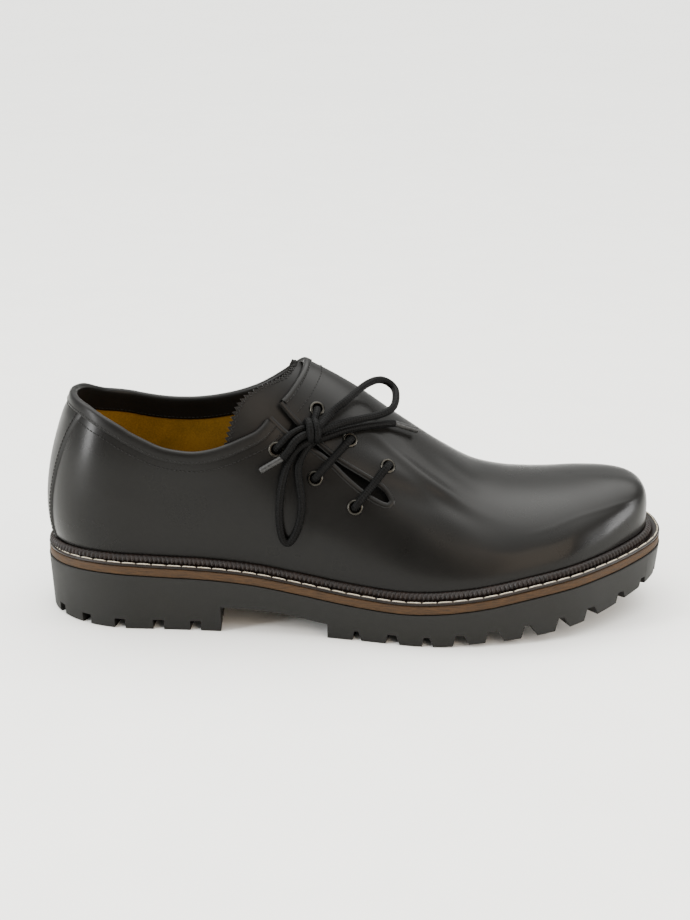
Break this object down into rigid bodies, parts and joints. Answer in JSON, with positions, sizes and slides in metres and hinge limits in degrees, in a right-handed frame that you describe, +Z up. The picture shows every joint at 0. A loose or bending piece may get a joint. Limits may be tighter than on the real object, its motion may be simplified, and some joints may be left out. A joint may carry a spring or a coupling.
{
  "type": "haferl shoe",
  "caption": "Low side-laced haferl shoe in smooth black leather with a wrap-over flap, ribbed storm welt and lugged rubber sole; right foot.",
  "frame": {"origin": "on the floor, under the middle of the box of the shoe without its loose lace", "axes": "+X to the toe, +Y to the inner side of the foot, +Z up"},
  "size_m": [0.3, 0.1134, 0.1226],
  "materials": {
    "leather": "smooth black leather with a light gloss",
    "rubber": "dull black rubber",
    "midsole": "plain brown layered edge",
    "welt": "dark brown, waxed",
    "lining": "natural tan lining leather",
    "eyelet": "dark gunmetal",
    "lace": "waxed black cord",
    "aglet": "plain metal tip"
  },
  "bodies": {
    "root": {"outsole": "rubber", "midsole": "midsole", "insole": "lining", "welt": "welt", "upper": "leather", "tongue": "leather", "collar_binding": "leather", "back_strip": "leather", "eyelet_vamp_1": "eyelet", "eyelet_vamp_2": "eyelet", "eyelet_vamp_3": "eyelet", "eyelet_quarter_1": "eyelet", "eyelet_quarter_2": "eyelet", "eyelet_quarter_3": "eyelet", "lace_bar_1": "lace", "lace_bar_2": "lace", "lace_knot": "lace", "lace_loop_front": "lace", "lace_loop_low": "lace", "lace_end_front": "lace", "lace_end_rear": "lace", "aglet_front": "aglet", "aglet_rear": "aglet"}
  },
  "joints": []
}
